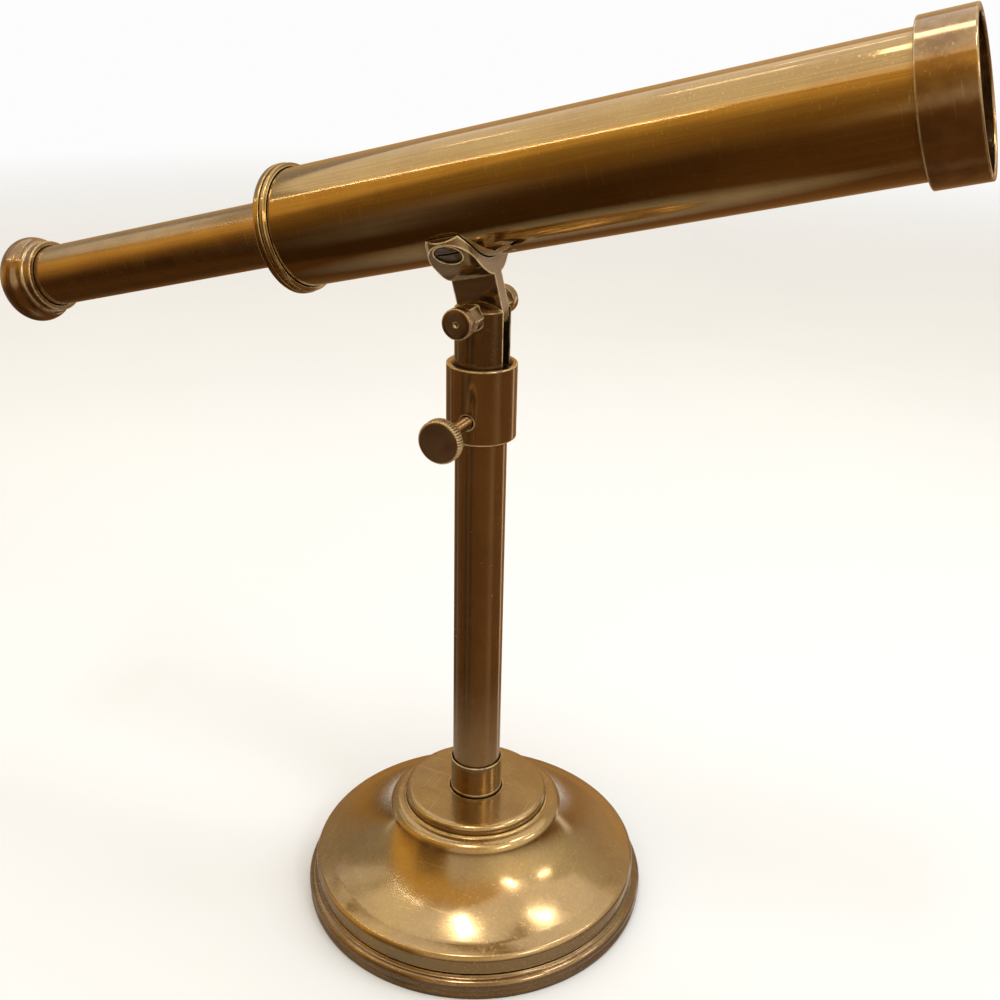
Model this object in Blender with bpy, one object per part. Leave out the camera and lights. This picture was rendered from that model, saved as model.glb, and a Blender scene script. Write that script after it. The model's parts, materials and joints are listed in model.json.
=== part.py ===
"""Table-top brass telescope on a turned stand.

Frame: metres, +Z up, origin at the centre of the base's underside.  At rest the tube points along +X and
is tilted up by TUBE_TILT; the bolt that it tilts on lies along Y, and -Y is the front.
"""

import math

import bmesh
import bpy
from mathutils import Matrix, Vector

MM = 0.001
GAP = 0.3 * MM

# Driving dimensions: the stand
BASE_RADIUS = 58.8 * MM
BASE_HEIGHT = 39.9 * MM
SHELL_WALL = 1.6 * MM
FELT_THICKNESS = 1.5 * MM
FERRULE_RADIUS = 8.7 * MM
FERRULE_HEIGHT = 12.3 * MM
POLE_RADIUS = 8.0 * MM
POLE_WALL = 1.2 * MM
POLE_TOP = 182.2 * MM

# Driving dimensions: the head that swivels on the pole
COLLAR_RADIUS = 10.7 * MM
COLLAR_BORE_RADIUS = 8.4 * MM
COLLAR_BOTTOM = 169.8 * MM
COLLAR_TOP = 193.0 * MM
CLAMP_HEIGHT = 177.0 * MM
CLAMP_HEAD_BACK = 25.6 * MM
CLAMP_HEAD_FRONT = 29.4 * MM
CLAMP_HEAD_RADIUS = 6.6 * MM
CLAMP_TEETH = 44
FORK_RADIUS = 8.3 * MM
FORK_TOP = 212.5 * MM
FORK_FLAT = 7.5 * MM
SLOT_HALF_WIDTH = 2.7 * MM
PIVOT_HEIGHT = 208.6 * MM
PIVOT_PIN_RADIUS = 2.3 * MM
PIVOT_NECK = 7.0 * MM

# Driving dimensions: the tube, in stations along its axis from the pivot and heights square to it
TUBE_TILT = math.radians(14.7)
TUBE_AXIS_HEIGHT = 33.0 * MM
TUBE_RADIUS = 17.9 * MM
TUBE_WALL = 0.9 * MM
TUBE_REAR = -55.2 * MM
TUBE_FRONT = 133.2 * MM
END_RING_REAR = -57.8 * MM
END_RING_RADIUS = 19.7 * MM
CELL_RADIUS = 20.2 * MM
CELL_REAR = 126.9 * MM
CELL_FRONT = 140.7 * MM
SADDLE_CENTRE = 0.4 * MM
SADDLE_HALF_LENGTH = 7.0 * MM
TONGUE_HALF_WIDTH = 2.3 * MM
SADDLE_ARM_ANGLE = math.radians(60.0)
SADDLE_SCREW_ANGLE = math.radians(45.0)
DRAW_RADIUS = 10.0 * MM
DRAW_WALL = 0.8 * MM
DRAW_REAR = -160.0 * MM
DRAW_FRONT = -26.0 * MM
EYEPIECE_RADIUS = 14.4 * MM
EYEPIECE_REAR = -172.8 * MM
EYEPIECE_FRONT = -158.0 * MM

FINE = 32
MEDIUM = 20
SMALL = 12


# Materials

def material(name, colour, roughness, metallic=1.0, transmission=0.0):
    """A Principled material of one plain finish."""
    made = bpy.data.materials.new(name)
    made.use_nodes = True
    shader = made.node_tree.nodes["Principled BSDF"]
    shader.inputs["Base Color"].default_value = (*colour, 1.0)
    shader.inputs["Roughness"].default_value = roughness
    shader.inputs["Metallic"].default_value = metallic
    shader.inputs["Transmission Weight"].default_value = transmission
    return made


def make_materials():
    return {
        "golden_brass": material("golden_brass", (0.36, 0.22, 0.06), 0.28),
        "antique_brass": material("antique_brass", (0.27, 0.14, 0.04), 0.3),
        "dark_brass": material("dark_brass", (0.16, 0.08, 0.03), 0.34),
        "copper_brass": material("copper_brass", (0.33, 0.17, 0.08), 0.28),
        "bright_brass": material("bright_brass", (0.62, 0.43, 0.18), 0.25),
        "steel": material("steel", (0.42, 0.41, 0.39), 0.35),
        "cast_iron": material("cast_iron", (0.09, 0.085, 0.08), 0.6),
        "black_paint": material("black_paint", (0.012, 0.012, 0.012), 0.6, metallic=0.0),
        "green_felt": material("green_felt", (0.03, 0.08, 0.045), 0.95, metallic=0.0),
        "glass": material("glass", (0.95, 0.97, 0.96), 0.02, metallic=0.0, transmission=1.0),
    }


# Shape helpers

def arc(centre, radius, start, end, steps):
    """Points on an arc about centre, from start to end in degrees, counted from the first axis."""
    angles = [math.radians(start + (end - start) * i / steps) for i in range(steps + 1)]
    return [(centre[0] + radius * math.cos(a), centre[1] + radius * math.sin(a)) for a in angles]


def bezier(start, control, end, steps):
    """Points on a quadratic curve that leaves start towards control and arrives at end."""
    points = []
    for i in range(steps + 1):
        t = i / steps
        weights = ((1 - t) ** 2, 2 * t * (1 - t), t * t)
        points.append(tuple(
            weights[0] * a + weights[1] * b + weights[2] * c for a, b, c in zip(start, control, end)
        ))
    return points


def finish_mesh(name, shape, finish, parent=None):
    """Turns a bmesh into an object that faces outwards and is shaded smooth between sharp edges."""
    bmesh.ops.remove_doubles(shape, verts=shape.verts, dist=1e-7)
    bmesh.ops.recalc_face_normals(shape, faces=shape.faces)
    mesh = bpy.data.meshes.new(name)
    shape.to_mesh(mesh)
    shape.free()
    mesh.shade_smooth()
    mesh.set_sharp_from_angle(angle=math.radians(32))
    made = bpy.data.objects.new(name, mesh)
    bpy.context.scene.collection.objects.link(made)
    if finish:
        mesh.materials.append(finish)
    made.parent = parent
    return made


def turned(name, outline, finish, parent=None, segments=FINE):
    """Spins a closed outline of (radius, height) points about Z.  Points on the axis close the ends."""
    shape = bmesh.new()
    loop = [shape.verts.new((radius, 0.0, height)) for radius, height in outline]
    edges = [shape.edges.new(pair) for pair in zip(loop, loop[1:] + loop[:1])
             if pair[0].co.x > 0 or pair[1].co.x > 0]
    bmesh.ops.spin(shape, geom=loop + edges, cent=(0, 0, 0), axis=(0, 0, 1),
                   angle=math.tau, steps=segments, use_merge=True)
    return finish_mesh(name, shape, finish, parent)


def extruded(name, outline, depth, finish=None, parent=None):
    """A prism of a closed (x, y) outline, centred on Z = 0."""
    shape = bmesh.new()
    face = shape.faces.new([shape.verts.new((x, y, -depth / 2)) for x, y in outline])
    top = bmesh.ops.extrude_face_region(shape, geom=[face])["geom"]
    moved = [item for item in top if isinstance(item, bmesh.types.BMVert)]
    bmesh.ops.translate(shape, verts=moved, vec=(0, 0, depth))
    return finish_mesh(name, shape, finish, parent)


def box_points(half_x, half_y):
    return [(-half_x, -half_y), (half_x, -half_y), (half_x, half_y), (-half_x, half_y)]


def circle_points(radius, segments=SMALL):
    return arc((0, 0), radius, 0, 360 - 360 / segments, segments - 1)


def place(made, location=(0, 0, 0), rotation=(0, 0, 0)):
    made.location = location
    made.rotation_euler = rotation
    return made


def cut(body, cutter, operation="DIFFERENCE"):
    """Applies a Boolean with a helper that is left out of the model."""
    cutter.hide_render = True
    cutter.display_type = "WIRE"
    modifier = body.modifiers.new(f"{operation.lower()}_{cutter.name}", "BOOLEAN")
    modifier.operation = operation
    modifier.object = cutter
    modifier.solver = "EXACT"


def empty(name, location, rotation=(0, 0, 0), parent=None):
    made = bpy.data.objects.new(name, None)
    bpy.context.scene.collection.objects.link(made)
    made.parent = parent
    return place(made, location, rotation)


TO_FRONT = (math.radians(90), 0, 0)    # local +Z becomes -Y
TO_BACK = (math.radians(-90), 0, 0)    # local +Z becomes +Y
TO_TUBE = (0, math.radians(90), 0)     # local +Z runs along the tube towards the objective


# The stand

BELL_LIP = 55.0 * MM
RIM_Z = 8.2 * MM
SHOULDER_RADIUS = 28.3 * MM
SHOULDER_Z = 33.8 * MM


def bell_outside():
    """The outer skin of the spun bell, from its hem up to its flat top: (radius, height)."""
    hem = [(BELL_LIP + 1.0 * MM, RIM_Z), (BELL_LIP + 1.1 * MM, RIM_Z + 3.6 * MM)]
    ridge = arc((BELL_LIP - 1.4 * MM, RIM_Z + 4.2 * MM), 2.4 * MM, 10, 68, 2)
    flare = bezier((51.0 * MM, 15.3 * MM), (36.0 * MM, 21.6 * MM), (30.6 * MM, 32.4 * MM), 5)
    shoulder = arc((SHOULDER_RADIUS, SHOULDER_Z), 2.2 * MM, -8, 90, 3)
    return hem + ridge + flare + shoulder


def make_stand(mats):
    outside = bell_outside()
    top_z = outside[-1][1]
    hole = 4.0 * MM
    inside = [
        (5.0 * MM, top_z - SHELL_WALL), (26.0 * MM, top_z - SHELL_WALL), (28.6 * MM, 31.8 * MM),
        (34.5 * MM, 22.2 * MM), (50.4 * MM, 13.8 * MM), (54.2 * MM, 12.0 * MM), (54.2 * MM, RIM_Z),
    ]
    turned("base_bell", [(hole, top_z)] + outside[::-1] + inside[::-1]
           + [(hole, top_z - SHELL_WALL)], mats["golden_brass"])

    bead = arc((BASE_RADIUS - 1.8 * MM, 4.9 * MM), 1.8 * MM, 0, 90, 3)
    turned("base_foot_ring", [
        (BASE_RADIUS - 0.5 * MM, 0), (BASE_RADIUS, 1.2 * MM), *bead,
        (BELL_LIP + 0.6 * MM, 7.5 * MM), (BELL_LIP - 2.5 * MM, 7.5 * MM), (BELL_LIP - 2.5 * MM, 0),
    ], mats["golden_brass"])

    disc_bottom = top_z + GAP
    turned("base_top_disc", [
        (9.2 * MM, disc_bottom), (24.0 * MM, disc_bottom),
        *arc((22.6 * MM, BASE_HEIGHT - 1.7 * MM), 1.7 * MM, -30, 90, 4),
        (9.2 * MM, BASE_HEIGHT),
    ], mats["golden_brass"])

    weight_bottom = FELT_THICKNESS + GAP
    turned("ballast_weight", [
        (4.0 * MM, weight_bottom + 6.0 * MM), (11.0 * MM, weight_bottom + 6.0 * MM),
        (11.0 * MM, weight_bottom), (52.0 * MM, weight_bottom), (52.0 * MM, 11.4 * MM),
        (33.5 * MM, 19.6 * MM), (25.0 * MM, 33.0 * MM), (4.0 * MM, 33.0 * MM),
    ], mats["cast_iron"])
    turned("base_felt", [
        (0, 0), (52.0 * MM, 0), (52.0 * MM, FELT_THICKNESS), (0, FELT_THICKNESS),
    ], mats["green_felt"])

    plug_bottom = top_z + GAP
    screw_head_z = weight_bottom + 1.0 * MM
    screw = turned("hold_down_screw", [
        (0, screw_head_z), (5.4 * MM, screw_head_z), (5.4 * MM, screw_head_z + 3.2 * MM),
        (2.9 * MM, screw_head_z + 3.2 * MM), (2.9 * MM, 54.0 * MM), (0, 54.0 * MM),
    ], mats["steel"], segments=SMALL)
    slot = extruded("hold_down_slot", box_points(7.0 * MM, 0.7 * MM), 3.0 * MM)
    cut(screw, place(slot, (0, 0, screw_head_z)))
    turned("hold_down_washer", [
        (3.3 * MM, screw_head_z + 3.5 * MM), (8.4 * MM, screw_head_z + 3.5 * MM),
        (8.4 * MM, screw_head_z + 4.7 * MM), (3.3 * MM, screw_head_z + 4.7 * MM),
    ], mats["steel"], segments=SMALL)

    ferrule_top = BASE_HEIGHT + FERRULE_HEIGHT
    turned("pole_ferrule", [
        (POLE_RADIUS + GAP, BASE_HEIGHT + GAP), (FERRULE_RADIUS - 0.1 * MM, BASE_HEIGHT + GAP),
        (FERRULE_RADIUS, BASE_HEIGHT + 0.8 * MM), (FERRULE_RADIUS, ferrule_top - 0.3 * MM),
        (FERRULE_RADIUS - 0.2 * MM, ferrule_top), (POLE_RADIUS + GAP, ferrule_top),
    ], mats["golden_brass"], segments=MEDIUM)
    pole_bore = POLE_RADIUS - POLE_WALL
    turned("pole_tube", [
        (pole_bore, plug_bottom), (POLE_RADIUS, plug_bottom), (POLE_RADIUS, POLE_TOP),
        (pole_bore, POLE_TOP),
    ], mats["dark_brass"], segments=MEDIUM)
    turned("pole_foot_plug", [
        (3.2 * MM, plug_bottom), (pole_bore - GAP, plug_bottom), (pole_bore - GAP, 58.0 * MM),
        (3.2 * MM, 58.0 * MM),
    ], mats["bright_brass"], segments=SMALL)


# The head: a sleeve that slips over the pole, a slotted plug and the bolt through it

def make_head(mats):
    pan = empty("pan_axis", (0, 0, 0))
    lip = 0.5 * MM
    collar = turned("collar_sleeve", [
        (COLLAR_BORE_RADIUS, COLLAR_BOTTOM), (COLLAR_RADIUS - lip, COLLAR_BOTTOM),
        (COLLAR_RADIUS, COLLAR_BOTTOM + lip), (COLLAR_RADIUS, COLLAR_TOP - 0.3 * MM),
        (COLLAR_RADIUS - 0.3 * MM, COLLAR_TOP), (COLLAR_BORE_RADIUS + 1.2 * MM, COLLAR_TOP),
        (COLLAR_BORE_RADIUS, COLLAR_TOP - 1.4 * MM),
    ], mats["dark_brass"], pan, MEDIUM)
    clamp_hole = extruded("clamp_hole", circle_points(2.3 * MM), 12.0 * MM, parent=pan)
    cut(collar, place(clamp_hole, (0, -COLLAR_RADIUS, CLAMP_HEIGHT), TO_FRONT))

    dome = arc((0, FORK_TOP - 15.0 * MM), 15.0 * MM, 90, 58, 4)
    fork = turned("fork_head", [
        *dome, (FORK_RADIUS, dome[-1][1] - 0.3 * MM),
        (FORK_RADIUS, POLE_TOP + GAP), (0, POLE_TOP + GAP),
    ], mats["dark_brass"], pan, MEDIUM)
    slot_floor = COLLAR_TOP - 1.0 * MM
    slot_height = 30.0 * MM
    slot = extruded("fork_slot", box_points(12.0 * MM, SLOT_HALF_WIDTH), slot_height, parent=pan)
    cut(fork, place(slot, (0, 0, slot_floor + slot_height / 2)))
    bolt_bore = extruded("fork_bolt_bore", circle_points(PIVOT_PIN_RADIUS + GAP), 30.0 * MM, parent=pan)
    cut(fork, place(bolt_bore, (0, 0, PIVOT_HEIGHT), TO_FRONT))
    spot_face = 4.2 * MM
    flat_depth = 4.0 * MM
    outline = arc((0, 0), spot_face, 180, 360, 8) + [(spot_face, 10.0 * MM), (-spot_face, 10.0 * MM)]
    for side, where in ((-1, "front"), (1, "back")):
        flat = extruded(f"fork_flat_{where}", outline, flat_depth, parent=pan)
        cut(fork, place(flat, (0, side * (FORK_FLAT + flat_depth / 2), PIVOT_HEIGHT), TO_FRONT))

    seat = FORK_FLAT + GAP
    bolt = turned("pivot_bolt", [
        (0, -11.4 * MM), (PIVOT_PIN_RADIUS, -11.4 * MM), (PIVOT_PIN_RADIUS, seat + 1.0 * MM),
        (3.0 * MM, seat + 1.0 * MM), *knob_head(14.4 * MM, 18.2 * MM, 4.6 * MM),
    ], mats["copper_brass"], pan, SMALL)
    place(bolt, (0, 0, PIVOT_HEIGHT), TO_FRONT)
    add_hex_neck(bolt, "pivot_bolt_neck", seat, 14.8 * MM, TO_FRONT, pan)
    washer = turned("pivot_washer", [
        (PIVOT_PIN_RADIUS + GAP, seat), (4.0 * MM, seat), (4.0 * MM, seat + 0.8 * MM),
        (PIVOT_PIN_RADIUS + GAP, seat + 0.8 * MM),
    ], mats["bright_brass"], pan, SMALL)
    place(washer, (0, 0, PIVOT_HEIGHT), TO_BACK)
    nut_seat = seat + 0.8 * MM + GAP
    nut = turned("pivot_nut", [
        (PIVOT_PIN_RADIUS + GAP, nut_seat), (3.2 * MM, nut_seat),
        *knob_head(12.9 * MM, 16.4 * MM, 4.5 * MM),
        (0, 12.0 * MM), (PIVOT_PIN_RADIUS + GAP, 12.0 * MM),
    ], mats["copper_brass"], pan, SMALL)
    place(nut, (0, 0, PIVOT_HEIGHT), TO_BACK)
    add_hex_neck(nut, "pivot_nut_neck", nut_seat, 13.3 * MM, TO_BACK, pan, PIVOT_PIN_RADIUS + GAP)
    return pan


def knob_head(back, front, radius):
    """The outline of a round bolt head with an eased rim and a centre mark, from its back to its axis."""
    return [
        (radius - 0.3 * MM, back), (radius, back + 0.3 * MM), (radius, front - 0.5 * MM),
        (radius - 0.4 * MM, front - 0.1 * MM), (0.6 * MM, front), (0, front - 0.4 * MM),
    ]


def add_hex_neck(body, name, back, front, rotation, pan, bore=0.0):
    """Joins a hexagonal neck to a bolt head; back and front are distances from the pole's axis."""
    neck = extruded(name, circle_points(PIVOT_NECK / math.sqrt(3), 6), front - back, parent=pan)
    side = -1 if rotation == TO_FRONT else 1
    place(neck, (0, side * (back + front) / 2, PIVOT_HEIGHT), rotation)
    if bore:
        hole = extruded(f"{name}_hole", circle_points(bore), 4 * front, parent=pan)
        cut(neck, place(hole, (0, 0, PIVOT_HEIGHT), rotation))
    cut(body, neck, "UNION")


def make_clamp(mats, pan):
    """The knurled thumb screw that grips the pole: its threaded shank and the head fixed on it."""
    tip = POLE_RADIUS + GAP
    shank_end = CLAMP_HEAD_BACK + 2.0 * MM
    shank = turned("thumb_screw_shank", [
        (0, tip), (1.6 * MM, tip), (2.0 * MM, tip + 0.5 * MM), (2.0 * MM, shank_end), (0, shank_end),
    ], mats["dark_brass"], pan, SMALL)
    place(shank, (0, 0, CLAMP_HEIGHT), TO_FRONT)

    knurl = []
    for i in range(2 * CLAMP_TEETH):
        radius = CLAMP_HEAD_RADIUS - (0.0 if i % 2 else 0.35 * MM)
        angle = math.tau * i / (2 * CLAMP_TEETH)
        knurl.append((radius * math.cos(angle), radius * math.sin(angle)))
    thickness = CLAMP_HEAD_FRONT - CLAMP_HEAD_BACK
    head = extruded("thumb_screw_head", knurl, thickness, mats["copper_brass"], pan)
    place(head, (0, -CLAMP_HEAD_BACK - thickness / 2, CLAMP_HEIGHT), TO_FRONT)
    socket_depth = 2 * (shank_end + GAP - CLAMP_HEAD_BACK)
    socket = extruded("thumb_screw_socket", circle_points(2.3 * MM), socket_depth, parent=pan)
    cut(head, place(socket, (0, -CLAMP_HEAD_BACK, CLAMP_HEIGHT), TO_FRONT))


# The saddle that carries the tube on the fork

def saddle_profile():
    """The Y-shaped outline of the saddle seen along the tube: (across, height above the pivot)."""
    contact = TUBE_RADIUS + GAP
    tip = contact + 2.6 * MM
    sine, cosine = math.sin(SADDLE_ARM_ANGLE), math.cos(SADDLE_ARM_ANGLE)
    half = [(TONGUE_HALF_WIDTH, -9.0 * MM)]
    half += bezier((TONGUE_HALF_WIDTH, 10.2 * MM), (6.0 * MM, 10.6 * MM), (11.0 * MM, 15.6 * MM), 4)
    half += [(tip * sine, TUBE_AXIS_HEIGHT - tip * cosine)]
    cradle = arc((0, TUBE_AXIS_HEIGHT), contact, math.degrees(SADDLE_ARM_ANGLE) - 90,
                 -90 - math.degrees(SADDLE_ARM_ANGLE), 12)
    return half + cradle + [(-across, height) for across, height in half[::-1]]


def make_saddle(mats, tilt):
    """Profile extruded along the tube, its tongue and arm ends then rounded to a strip's ends."""
    length = 2 * SADDLE_HALF_LENGTH
    saddle = extruded("saddle_bracket", saddle_profile(), length, mats["dark_brass"], tilt)
    # local x -> front/back, local y -> height, local z -> along the tube
    place(saddle, (SADDLE_CENTRE, 0, 0), (math.radians(90), 0, math.radians(90)))

    tongue_end = arc((0, 0), SADDLE_HALF_LENGTH, 180, 360, 12)
    front_view = extruded("saddle_front_view", tongue_end + [
        (SADDLE_HALF_LENGTH + 1 * MM, 30 * MM), (-SADDLE_HALF_LENGTH - 1 * MM, 30 * MM),
    ], 60 * MM, parent=tilt)
    cut(saddle, place(front_view, (SADDLE_CENTRE, 0, 0), TO_FRONT), "INTERSECT")
    reach = 17.6 * MM
    centre_y = reach - 0.8 * SADDLE_HALF_LENGTH
    strip = []
    for side in (1, -1):
        strip += [(SADDLE_HALF_LENGTH * 1.02 * x * side, side * (centre_y + 0.8 * SADDLE_HALF_LENGTH * y))
                  for x, y in arc((0, 0), 1.0, 0, 180, 12)]
    top_view = extruded("saddle_top_view", strip, 80 * MM, parent=tilt)
    cut(saddle, place(top_view, (SADDLE_CENTRE, 0, 20 * MM)), "INTERSECT")

    bore = extruded("saddle_pivot_bore", circle_points(PIVOT_PIN_RADIUS + GAP), 20 * MM, parent=tilt)
    cut(saddle, place(bore, (0, 0, 0), TO_FRONT))
    for side, where in ((-1, "front"), (1, "back")):
        cut(saddle, radial(turned(f"saddle_countersink_{where}", countersink(GAP), None, tilt, SMALL), side))
        radial(turned(f"saddle_screw_{where}", countersink(0.0), mats["steel"], tilt, SMALL), side)


def countersink(clearance):
    """Outline of a countersunk screw, or of its hole when clearance is given: (radius, distance from tube axis)."""
    seat = TUBE_RADIUS + GAP
    head = 3.8 * MM + clearance
    shank = 1.7 * MM + clearance
    top = seat + (1.3 * MM if clearance == 0 else 6.0 * MM)
    bottom = TUBE_RADIUS - (1.6 * MM if clearance == 0 else 3.0 * MM)
    return [(0, top), (head, top), (head, seat + 1.0 * MM), (shank, seat + 0.2 * MM), (shank, bottom),
            (0, bottom)]


def radial(made, side):
    """Stands a piece square to the tube's surface, on the screw line of the front (-1) or back (+1) arm."""
    made.location = (SADDLE_CENTRE, 0, TUBE_AXIS_HEIGHT)
    made.rotation_euler = (math.pi + side * SADDLE_SCREW_ANGLE, 0, 0)
    return made


# The tube and its fixed optics

def make_tube(mats, tilt):
    axis = (0, 0, TUBE_AXIS_HEIGHT)
    bore = TUBE_RADIUS - TUBE_WALL
    tube = turned("main_tube", [
        (bore, TUBE_REAR), (TUBE_RADIUS, TUBE_REAR), (TUBE_RADIUS, TUBE_FRONT), (bore, TUBE_FRONT),
    ], mats["antique_brass"], tilt)
    place(tube, axis, TO_TUBE)
    for side, where in ((-1, "front"), (1, "back")):
        hole = extruded(f"tube_screw_hole_{where}", circle_points(1.7 * MM + GAP), 8 * MM, parent=tilt)
        angle = math.pi + side * SADDLE_SCREW_ANGLE
        reach = Matrix.Rotation(angle, 3, "X") @ Vector((0, 0, TUBE_RADIUS))
        cut(tube, place(hole, (SADDLE_CENTRE, reach.y, TUBE_AXIS_HEIGHT + reach.z), (angle, 0, 0)))

    ring_bore = DRAW_RADIUS + GAP
    lip = END_RING_RADIUS
    rear = END_RING_REAR
    inner = bore - GAP
    ring = turned("end_ring", [
        (ring_bore, rear), (lip - 0.5 * MM, rear), (lip, rear + 0.5 * MM), (lip, rear + 2.0 * MM),
        (lip - 0.8 * MM, rear + 2.2 * MM), (lip - 0.8 * MM, rear + 2.5 * MM),
        (lip - 0.3 * MM, rear + 2.7 * MM), (lip - 0.3 * MM, rear + 3.6 * MM),
        (TUBE_RADIUS + GAP, rear + 4.0 * MM), (TUBE_RADIUS + GAP, TUBE_REAR - GAP),
        (inner, TUBE_REAR - GAP), (inner, rear + 10.0 * MM), (bore - 1.3 * MM, rear + 10.0 * MM),
        (bore - 1.3 * MM, rear + 1.8 * MM), (ring_bore, rear + 1.8 * MM),
    ], mats["antique_brass"], tilt)
    place(ring, axis, TO_TUBE)
    bush_rear = rear + 10.6 * MM
    bush_front = rear + 20.6 * MM
    bush = turned("draw_guide_bush", [
        (ring_bore, bush_rear), (bore - 2.4 * MM, bush_rear), (inner, bush_rear + 1.0 * MM),
        (inner, bush_front), (ring_bore, bush_front),
    ], mats["bright_brass"], tilt, MEDIUM)
    place(bush, axis, TO_TUBE)
    stop = 82.0 * MM
    baffle = turned("glare_stop", [
        (9.5 * MM, stop), (inner, stop), (inner, stop + 4.0 * MM), (bore - 1.1 * MM, stop + 4.0 * MM),
        (bore - 1.1 * MM, stop + 1.0 * MM), (9.5 * MM, stop + 1.0 * MM),
    ], mats["black_paint"], tilt, MEDIUM)
    place(baffle, axis, TO_TUBE)
    make_objective(mats, tilt, axis, inner)


def make_objective(mats, tilt, axis, inner):
    """The cell over the tube's front end, and the achromat between its seat and its retaining ring."""
    mouth = CELL_RADIUS - 1.6 * MM
    ledge = TUBE_FRONT + 1.6 * MM
    cell = turned("objective_cell", [
        (TUBE_RADIUS + GAP, CELL_REAR), (CELL_RADIUS - 0.3 * MM, CELL_REAR),
        (CELL_RADIUS, CELL_REAR + 0.3 * MM), (CELL_RADIUS, CELL_FRONT - 0.3 * MM),
        (CELL_RADIUS - 0.3 * MM, CELL_FRONT), (mouth + 0.3 * MM, CELL_FRONT),
        (mouth, CELL_FRONT - 0.4 * MM), (mouth, ledge), (CELL_RADIUS - 4.0 * MM, ledge),
        (CELL_RADIUS - 4.0 * MM, TUBE_FRONT + GAP), (TUBE_RADIUS + GAP, TUBE_FRONT + GAP),
    ], mats["copper_brass"], tilt)
    place(cell, axis, TO_TUBE)
    edge = 15.6 * MM
    seat_rear = TUBE_FRONT - 10.0 * MM
    seat_front = TUBE_FRONT - 0.4 * MM
    shelf = seat_rear + 1.2 * MM
    seat = turned("objective_seat_ring", [
        (14.4 * MM, seat_rear), (inner, seat_rear), (inner, seat_front), (edge + GAP, seat_front),
        (edge + GAP, shelf), (14.4 * MM, shelf),
    ], mats["black_paint"], tilt, MEDIUM)
    place(seat, axis, TO_TUBE)
    flint_rear = shelf + GAP
    flint = turned("objective_flint_lens",
                   lens(edge, flint_rear, flint_rear + 2.9 * MM, -0.2 * MM, -1.6 * MM),
                   mats["glass"], tilt, MEDIUM)
    place(flint, axis, TO_TUBE)
    crown_rear = flint_rear + 3.3 * MM
    crown = turned("objective_crown_lens",
                   lens(edge, crown_rear, crown_rear + 1.8 * MM, 1.6 * MM, 1.7 * MM),
                   mats["glass"], tilt, MEDIUM)
    place(crown, axis, TO_TUBE)
    retainer_rear = crown_rear + 2.2 * MM
    retainer_front = ledge - GAP
    retainer = turned("objective_retaining_ring", [
        (14.2 * MM, retainer_rear + 1.4 * MM), (edge, retainer_rear), (edge, retainer_front),
        (14.6 * MM, retainer_front), (14.2 * MM, retainer_front - 0.4 * MM),
    ], mats["bright_brass"], tilt, MEDIUM)
    place(retainer, axis, TO_TUBE)


def lens(radius, rear, front, rear_bulge, front_bulge):
    """A lens outline: its rim runs from rear to front, and its faces bulge outwards at the axis."""
    steps = 4

    def face(station, bulge):
        return [(radius * i / steps, station + bulge * (1 - (i / steps) ** 2)) for i in range(steps + 1)]

    return face(rear, -rear_bulge) + face(front, front_bulge)[::-1]


# The draw tube with the eyepiece and erecting optics, which slides in the main tube

def make_draw(mats, tilt):
    slide = empty("draw_axis", (0, 0, TUBE_AXIS_HEIGHT), parent=tilt)
    bore = DRAW_RADIUS - DRAW_WALL
    inner = bore - GAP
    stop_rear = DRAW_FRONT - 6.0 * MM
    cell_rear = DRAW_FRONT - 34.0 * MM
    cell_front = DRAW_FRONT - 4.0 * MM
    field_rear = DRAW_REAR + 20.6 * MM
    turned_along = [
        ("draw_tube", [
            (bore, DRAW_REAR), (DRAW_RADIUS, DRAW_REAR), (DRAW_RADIUS, DRAW_FRONT), (bore, DRAW_FRONT),
        ], "antique_brass", FINE),
        ("draw_stop_ring", [
            (DRAW_RADIUS + GAP, stop_rear), (15.2 * MM, stop_rear), (15.2 * MM, stop_rear + 5.4 * MM),
            (DRAW_RADIUS + GAP, stop_rear + 5.4 * MM),
        ], "bright_brass", MEDIUM),
        ("erector_cell", [
            (6.9 * MM, cell_rear), (inner, cell_rear), (inner, cell_front), (6.2 * MM, cell_front),
            (6.2 * MM, cell_front - 0.9 * MM), (7.9 * MM, cell_front - 0.9 * MM),
            (7.9 * MM, cell_rear + 1.1 * MM), (6.9 * MM, cell_rear + 1.1 * MM),
        ], "black_paint", MEDIUM),
        ("erector_lens_front", small_lens(7.6 * MM, cell_front - 3.1 * MM, 0.9 * MM, 0.9 * MM),
         "glass", SMALL),
        ("erector_lens_rear", small_lens(7.6 * MM, cell_rear + 3.1 * MM, 0.9 * MM, 0.9 * MM),
         "glass", SMALL),
        ("field_lens", small_lens(8.2 * MM, field_rear + 2.6 * MM, 0.1 * MM, 1.4 * MM), "glass", SMALL),
        ("field_lens_ring", [
            (7.2 * MM, field_rear), (inner, field_rear), (inner, field_rear + 5.4 * MM),
            (8.5 * MM, field_rear + 5.4 * MM), (8.5 * MM, field_rear + 1.2 * MM),
            (7.2 * MM, field_rear + 1.2 * MM),
        ], "black_paint", SMALL),
        ("eyepiece_cup", eyepiece_outline(), "copper_brass", FINE),
        ("eye_lens", small_lens(6.6 * MM, DRAW_REAR - 3.8 * MM, 0.7 * MM, 0.7 * MM), "glass", SMALL),
        ("eye_lens_ring", [
            (5.4 * MM, DRAW_REAR - 2.6 * MM), (6.6 * MM, DRAW_REAR - 2.6 * MM),
            (6.6 * MM, DRAW_REAR - 1.2 * MM), (5.4 * MM, DRAW_REAR - 1.2 * MM),
        ], "black_paint", SMALL),
    ]
    for name, outline, finish, segments in turned_along:
        place(turned(name, outline, mats[finish], slide, segments), (0, 0, 0), TO_TUBE)


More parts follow.
